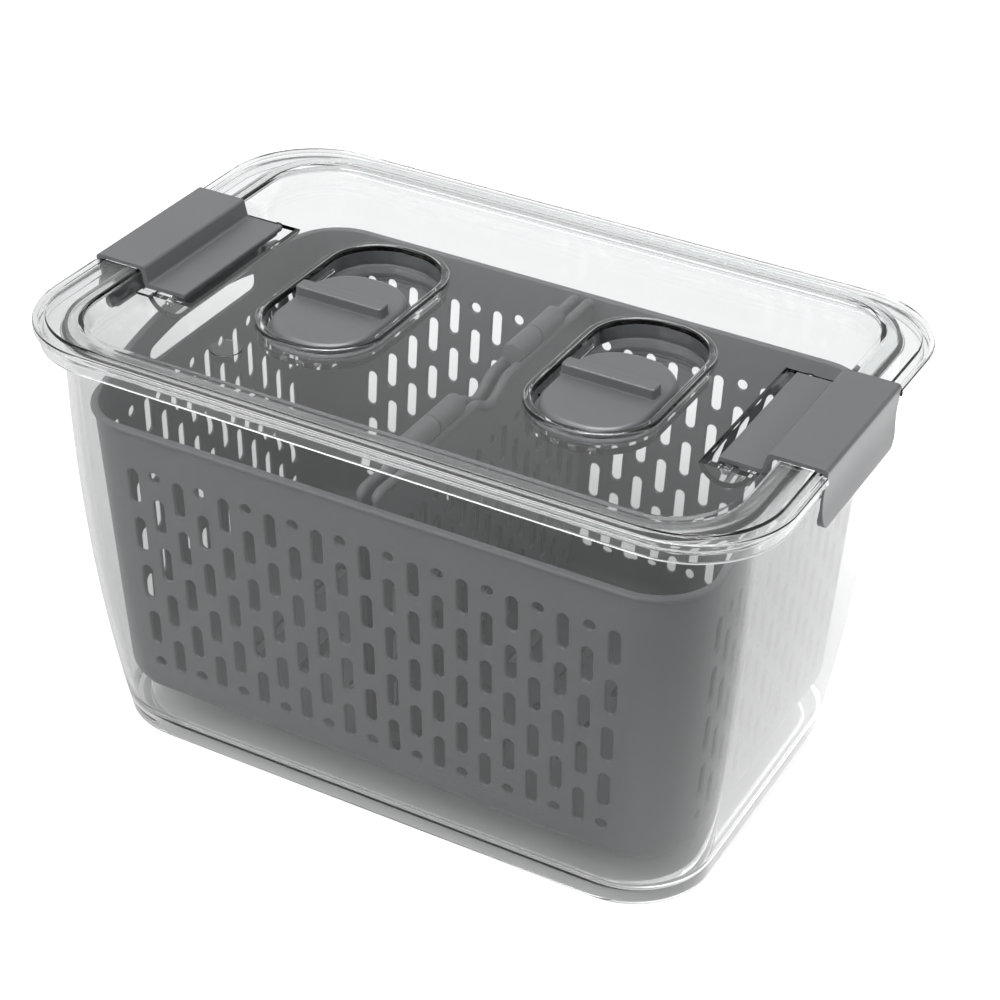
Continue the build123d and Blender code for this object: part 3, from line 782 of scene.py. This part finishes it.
def wall_frame(normal_axis, foot, slope):
    """Sets a tool on a tilted wall: across is along the wall and up is a height above the table."""
    tilt = atan2(slope, 1.0)
    lean, upright = sin(tilt), cos(tilt)
    sign = 1 if normal_axis.startswith("+") else -1

    def set_on(across, up):
        out = foot + slope * up
        if normal_axis.endswith("y"):
            turn = Matrix(((sign, 0, 0), (0, lean * sign, -upright * sign), (0, upright, lean)))
            place = Vector((across, sign * out, up))
        else:
            turn = Matrix(((0, lean * sign, upright * sign), (sign, 0, 0), (0, upright, -lean)))
            place = Vector((sign * out, across, up))
        return Matrix.Translation(place * MM) @ turn.to_4x4()

    return set_on


class KEEPER_OT_basket(bpy.types.Operator):
    """Adds the perforated basket"""

    bl_idname = "keeper.basket"
    bl_label = "Basket"

    def execute(self, context):
        size = sizes()
        top_x, top_y = in_mm(size.basket_length) / 2, in_mm(size.basket_width) / 2
        rim, shoulder, base, floor, wall = in_mm(size.basket_top), 136.0, 18.8, 21.0, 2.0
        base_x, base_y, upright_corner, outer_round, inner_round = 127.5, 81.0, 25.0, 10, 8
        slope_x, slope_y = (top_x - base_x) / (rim - base), (top_y - base_y) / (rim - base)
        arch_half, arch_rise, bead, proud, rise_to_back = 67.0, 12.2, 1.15, 1.3, 1.2
        arch_radius = (arch_half**2 + arch_rise**2) / (2 * arch_rise)

        def lift(y):
            """How far the rim rises over the carry slots, and a little towards the back."""
            tilt = rise_to_back * y / top_y
            if abs(y) > arch_half:
                return tilt
            return tilt + sqrt(arch_radius**2 - y**2) - arch_radius + arch_rise

        def loop(z, inset, arched=0.0):
            """Points round the basket at a height, raised over the ends by a share of the arch."""
            corner, turns, steps = upright_corner - inset, 12, 20
            half_x = base_x + slope_x * (z - base) - inset
            half_y = base_y + slope_y * (z - base) - inset
            points = corner_points(half_x, half_y, corner, turns, z)
            across = [(half_y - corner) - 2 * (half_y - corner) * step / steps for step in range(1, steps)]
            left = [Vector((-half_x, y, z)) for y in across]
            right = [Vector((half_x, -y, z)) for y in across]
            back = 2 * (turns + 1)
            points = points[:back] + left + points[back:] + right
            for point in points:
                rise = arched * lift(point.y)
                point.z += rise
                point.x += slope_x * rise * (1 if point.x > 0 else -1)
            return [point * MM for point in points]

        edge = [pi / 2 * step / 6 for step in range(7)]
        rings = []
        for turn in edge:
            rings.append(loop(base + outer_round * (1 - cos(turn)), outer_round * (1 - sin(turn))))
        rings += [loop(shoulder, 0), loop(rim - 2 * bead, 0, 1)]
        round_side = [-pi / 2 + pi * step / 8 for step in range(1, 9)]
        rings += [loop(rim - bead + bead * sin(turn), -proud * cos(turn), 1) for turn in round_side]
        inner_edge = ((0.0, 0.7), (0.2, 0.2), (0.7, 0.0))
        rings += [loop(rim - down, wall - out, 1) for down, out in inner_edge]
        rings += [loop(shoulder, wall)]
        for turn in reversed(edge):
            rings.append(loop(floor + inner_round * (1 - cos(turn)), wall + inner_round * (1 - sin(turn))))
        shell = closed(grown("basket_shell", rings))
        grip_half, low, high, grip_rise, beyond = 38.5, 142.3, 149.3, 4.8, 160
        grip_radius = (grip_half**2 + grip_rise**2) / (2 * grip_rise)
        grip_reach = atan2(grip_half, grip_radius - grip_rise)
        curve = []
        for turn in [grip_reach * step / 8 for step in range(8, -9, -1)]:
            curve.append((grip_radius * sin(turn), high + grip_rise - grip_radius * (1 - cos(turn))))
        radii = [3.2, 3.2, 3.0] + [0] * (len(curve) - 2) + [3.0]
        handle = rounded_corners([(-grip_half, low), (grip_half, low), *curve], radii)
        carve(shell, [prism("carry slot", handle, "x", -beyond, beyond)])
        foot_place_x, foot_place_y = 92.0, 52.0
        spots = [(x * foot_place_x, y * foot_place_y) for x in SIDES for y in SIDES]
        foot = [(8.5, 11.4, 5.4, 2.4), (9.1, 12.0, 6.0, 3.0), (19.6, 12.3, 6.3, 3.3)]
        carve(shell, [ring_shell("foot", foot, segments=5, centre=spot) for spot in spots], "UNION")
        holes, columns, pitch, row_y = [], 8, 24.0, 24.0
        half_wide, half_long, slot_round, below, above = 2.5, 15, 2.4, 15, 25
        for column in range(columns):
            for row in SIDES:
                x, y = (column - (columns - 1) / 2) * pitch, row * row_y
                low_y, high_y = y - half_long, y + half_long
                slot = [(x - half_wide, low_y), (x + half_wide, low_y)]
                slot += [(x + half_wide, high_y), (x - half_wide, high_y)]
                slot = rounded_corners(slot, [slot_round] * 4)
                holes.append(prism("floor slot", slot, "z", below, above))
        carve(shell, [joined(holes, "floor slots")])
        foot_x, foot_y = base_x - wall / 2 - slope_x * base, base_y - wall / 2 - slope_y * base
        long_count, short_count, back_raised = 21, 13, 2.3
        walls = [
            (wall_frame("-y", foot_y, slope_y), long_count, 0.0),
            (wall_frame("+y", foot_y, slope_y), long_count, back_raised),
            (wall_frame("-x", foot_x, slope_x), short_count, 0.0),
            (wall_frame("+x", foot_x, slope_x), short_count, 0.0),
        ]
        carve(shell, [punch("basket slots", walls)])
        smooth(shell, 50)
        finish_piece(shell, "basket_shell", "basket plastic", "basket", "basket")
        return {"FINISHED"}


class KEEPER_OT_divider(bpy.types.Operator):
    """Adds the two perforated leaves of the divider"""

    bl_idname = "keeper.divider"
    bl_label = "Divider"

    def execute(self, context):
        top, foot, half_top, half_foot, bead = 154.3, 23.6, 87.2, 76.7, 2.0
        notch_half, notch_depth, hinge, knuckle, gap = 15.0, 6.0, 156.5, 4.5, 0.4
        top_corner, foot_corner, plate_corner, bead_reach, leaf_x = 6.0, 24, 5, 0.8, 3.2
        corner, columns, half_thick, bead_half, spacing = top_corner - bead, 15, 1, 72, 3
        hinge_y, clip_end, eye_end, half_gap = 40.6, 18.2, 19.2, 0.2

        def dip(y):
            return notch_depth / 2 * (1 + cos(pi * y / notch_half)) if abs(y) < notch_half else 0.0

        level, ends = top - bead, half_top - top_corner
        bends = [radians(50 - 10 * step) for step in range(6)]
        path = [(-ends - corner * sin(turn), level - corner * (1 - cos(turn))) for turn in bends]
        path += [(y, level - dip(y)) for y in range(-bead_half, bead_half + 1, spacing)]
        path += [(-y, z) for y, z in reversed(path[: len(bends)])]
        notch = [(y, level - dip(y)) for y in range(int(notch_half), -int(notch_half) - 1, -spacing)]
        plate_top = half_top - bead_reach
        outline = [(-half_foot, foot), (half_foot, foot), (plate_top, level), *notch, (-plate_top, level)]
        radii = [foot_corner, foot_corner, plate_corner] + [0] * len(notch) + [plate_corner]
        outline = rounded_corners(outline, radii)
        for side, word in zip(SIDES, ("left", "right")):
            node, body = "divider_leaf_" + word, "divider_" + word
            middle = side * leaf_x
            plate = prism("plate", outline, "x", middle - half_thick, middle + half_thick)
            carve(plate, [punch("leaf slots", [(wall_frame("+x", middle, 0.0), columns, 0.0)])])
            parts = [plate, tube("bead", path, bead, middle)]
            for centre in (-hinge_y, hinge_y):
                clip = (centre - clip_end, centre - half_gap)
                eye = (centre + half_gap, centre + eye_end)
                own, other = (clip, eye) if side < 0 else (eye, clip)
                for part in parts[:2]:
                    room = barrel("room", knuckle + gap, other[0] - gap, other[1] + gap, 0, hinge, rim=0.1)
                    carve(part, [room])
                parts.append(barrel("knuckle", knuckle, *own, 0, hinge, rim=0.7))
            obj = joined(parts, "divider_panel_" + word)
            cleaned(obj)
            smooth(obj, 40)
            finish_piece(obj, "divider_panel_" + word, "basket plastic", body, node)
        return {"FINISHED"}


def stage_floor():
    """A pale matt floor that glows a little to the camera, behind clear plastic and in reflections, with a
    painted shadow under the tub seen only through clear plastic and a painted reflection patch to its
    right seen only in reflections.
    """
    grey, painted_shadow_under_tub, glow_seen, glow_through = 0.8, -0.2, 0.62, 0.24
    mirror_glow, painted_reflection_glow = 0.1, 1.3
    behind, painted_reflection_x, painted_reflection_y = (0.1, 0.3), (0.08, 0.135), (-0.32, 0.02)
    deselect()
    bpy.ops.mesh.primitive_plane_add(size=12, location=(0, 0, 0))
    floor = bpy.context.object
    floor.name = floor.data.name = "floor"
    material, node, link = new_material("floor")
    tree = material.node_tree
    output, add = node("ShaderNodeOutputMaterial"), node("ShaderNodeAddShader")
    matt, glow = node("ShaderNodeBsdfDiffuse"), node("ShaderNodeEmission")
    path, place = node("ShaderNodeLightPath"), node("ShaderNodeTexCoord")
    spot = node("ShaderNodeSeparateXYZ")
    link(place.outputs["Object"], spot.inputs[0])
    x, y = spot.outputs["X"], spot.outputs["Y"]
    # Painted shadow: seen through clear plastic, the floor in front of the behind step, under and in front
    # of the tub, gets a darker colour and no glow.
    through, beyond_painted_shadow = path.outputs["Is Transmission Ray"], soft_step(tree, y, *behind)
    # Painted reflection: a patch of floor to the right of the tub glows strongly only to reflected rays,
    # for the glare on the tub's right wall.
    rightwards, backwards = soft_step(tree, x, *painted_reflection_x), soft_step(tree, y, *painted_reflection_y)
    painted_reflection_patch = math_node(tree, "MULTIPLY", rightwards, backwards)
    mirrored = math_node(tree, "SUBTRACT", path.outputs["Is Glossy Ray"], through)
    mirrored = math_node(tree, "MAXIMUM", mirrored, 0.0)
    seen = math_node(tree, "MULTIPLY", path.outputs["Is Camera Ray"], glow_seen)
    seen = math_node(tree, "MULTIPLY_ADD", math_node(tree, "MULTIPLY", through, beyond_painted_shadow), glow_through, seen)
    # Painted reflection: glow seen only in reflections, strong over the patch to the right of the tub.
    painted_reflection = math_node(tree, "MULTIPLY_ADD", painted_reflection_patch, painted_reflection_glow, mirror_glow)
    link(math_node(tree, "MULTIPLY_ADD", mirrored, painted_reflection, seen), glow.inputs["Strength"])
    # Painted shadow under the tub: a darker floor colour, only for rays seen through clear plastic.
    near = math_node(tree, "MULTIPLY", through, math_node(tree, "SUBTRACT", 1.0, beyond_painted_shadow))
    link(math_node(tree, "MULTIPLY_ADD", near, painted_shadow_under_tub, grey), matt.inputs["Color"])
    link(matt.outputs[0], add.inputs[0])
    link(glow.outputs[0], add.inputs[1])
    link(add.outputs[0], output.inputs["Surface"])
    floor.data.materials.append(material)


def studio_world(scene):
    """A grey dome that is lighter upwards, white to the camera, with a ceiling lamp for reflections."""
    lamp_low, lamp_high, lamp_level = 0.9, 0.96, 16.0
    dome = ((0.0, 0.25), (0.22, 0.32), (0.45, 0.75), (1.0, 0.85))
    world = bpy.data.worlds.new("studio")
    scene.world = world
    world.use_nodes = True
    tree = world.node_tree
    tree.nodes.clear()
    node, link = tree.nodes.new, tree.links.new
    output, back = node("ShaderNodeOutputWorld"), node("ShaderNodeBackground")
    place, height = node("ShaderNodeTexCoord"), node("ShaderNodeSeparateXYZ")
    ramp = node("ShaderNodeValToRGB")
    link(place.outputs["Generated"], height.inputs[0])
    link(height.outputs["Z"], ramp.inputs["Fac"])
    stops = ramp.color_ramp.elements
    for spot, level in dome:
        stop = stops[0] if spot == 0.0 else stops[1] if spot == 1.0 else stops.new(spot)
        stop.color = (level, level, level, 1)
    path, mix, both = node("ShaderNodeLightPath"), node("ShaderNodeMix"), node("ShaderNodeVectorMath")
    glossy, through = path.outputs["Is Glossy Ray"], path.outputs["Is Transmission Ray"]
    mirrored = math_node(tree, "SUBTRACT", glossy, through, clamp=True)
    lamp = soft_step(tree, height.outputs["Z"], lamp_low, lamp_high, lamp_level)
    link(ramp.outputs["Color"], both.inputs[0])
    link(math_node(tree, "MULTIPLY", mirrored, lamp), both.inputs[1])
    mix.data_type = "RGBA"
    link(path.outputs["Is Camera Ray"], mix.inputs["Factor"])
    link(both.outputs[0], mix.inputs[6])
    mix.inputs[7].default_value = (1, 1, 1, 1)
    link(mix.outputs[2], back.inputs["Color"])
    link(back.outputs[0], output.inputs["Surface"])


def soft_light(scene, name, energy, size, place, aim):
    """A square lamp that the camera doesn't see, turned towards a point."""
    data = bpy.data.lights.new(name, "AREA")
    data.shape = "RECTANGLE"
    data.energy, data.size, data.size_y = energy, size, size
    lamp = bpy.data.objects.new(name, data)
    scene.collection.objects.link(lamp)
    lamp.location = place
    lamp.rotation_euler = (Vector(aim) - lamp.location).to_track_quat("-Z", "Y").to_euler()
    lamp.visible_camera = False


def long_camera(scene):
    """A long-lens camera that looks down on the keeper from its front right."""
    turn, rise, roll = radians(-27.18), radians(34.03), radians(2.12)
    target, distance = Vector((0.01323, 0.01268, 0.075)), 1.02039
    sensor, focal_share, shift_x, shift_y = 36, 2.51228, -0.0228, 0.0504
    forward = Vector((sin(turn) * cos(rise), cos(turn) * cos(rise), -sin(rise)))
    right = Vector((cos(turn), -sin(turn), 0))
    up = right.cross(forward)
    right_rolled = cos(roll) * right + sin(roll) * up
    up_rolled = -sin(roll) * right + cos(roll) * up
    data = bpy.data.cameras.new("camera")
    data.sensor_width, data.lens = sensor, sensor * focal_share
    data.shift_x, data.shift_y = shift_x, shift_y
    data.clip_start, data.clip_end = 0.05, 30
    camera = bpy.data.objects.new("camera", data)
    scene.collection.objects.link(camera)
    pose = Matrix((right_rolled, up_rolled, -forward)).transposed().to_4x4()
    pose.translation = target - distance * forward
    camera.matrix_world = pose
    scene.camera = camera


class KEEPER_OT_stage(bpy.types.Operator):
    """Adds the floor, the light and the camera"""

    bl_idname = "keeper.stage"
    bl_label = "Stage"

    def execute(self, context):
        scene, bounces = context.scene, 24
        stage_floor()
        studio_world(scene)
        soft_light(scene, "key", 9.0, 1.1, (-0.45, -0.75, 1.1), (0, 0, 0.1))
        scene.cycles.max_bounces = scene.cycles.transmission_bounces = bounces
        long_camera(scene)
        scene.view_settings.view_transform = "Standard"
        return {"FINISHED"}


class KEEPER_PT_panel(bpy.types.Panel):
    """Lists the pieces of the keeper"""

    bl_idname = "KEEPER_PT_panel"
    bl_label = "Produce keeper"
    bl_space_type = "VIEW_3D"
    bl_region_type = "UI"
    bl_category = "Keeper"

    def draw(self, context):
        for operator in OPERATORS:
            self.layout.operator(operator.bl_idname)


OPERATORS = (
    KEEPER_OT_tub,
    KEEPER_OT_lid,
    KEEPER_OT_latches,
    KEEPER_OT_vents,
    KEEPER_OT_basket,
    KEEPER_OT_divider,
    KEEPER_OT_stage,
)
CLASSES = (KeeperSizes, KeeperColours, *OPERATORS, KEEPER_PT_panel)


def register():
    """Adds the classes and the scene's own sizes and colours."""
    for item in CLASSES:
        bpy.utils.register_class(item)
    bpy.types.Scene.keeper_sizes = bpy.props.PointerProperty(type=KeeperSizes)
    bpy.types.Scene.keeper_colours = bpy.props.PointerProperty(type=KeeperColours)


def unregister():
    """Takes away what register added."""
    del bpy.types.Scene.keeper_sizes
    del bpy.types.Scene.keeper_colours
    for item in reversed(CLASSES):
        bpy.utils.unregister_class(item)


def main():
    """Makes the materials and every piece."""
    register()
    tints = colours()
    basket_look = {"roughness": 0.42, "grain": 1800.0, "bump": 0.09}
    latch_look = {"roughness": 0.38, "grain": 2200.0, "bump": 0.1}
    clear_plastic("clear plastic", tints.clear, roughness=0.02, index=1.44, shadow=0.93)
    clear_plastic("clear silicone", tints.silicone, roughness=0.2, index=1.2, shadow=0.9)
    # The last two numbers set the painted shade in each plastic's hollows: how dark it gets, and how far
    # it reaches in mm.
    grey_plastic("basket plastic", tints.basket, **basket_look, painted_shade_depth=0.7, painted_shade_reach=90.0)
    grey_plastic("latch plastic", tints.latch, **latch_look, painted_shade_depth=0.4, painted_shade_reach=12.0)
    for operator in (
        bpy.ops.keeper.tub,
        bpy.ops.keeper.lid,
        bpy.ops.keeper.latches,
        bpy.ops.keeper.vents,
        bpy.ops.keeper.basket,
        bpy.ops.keeper.divider,
        bpy.ops.keeper.stage,
    ):
        operator()


if __name__ == "__main__":
    main()
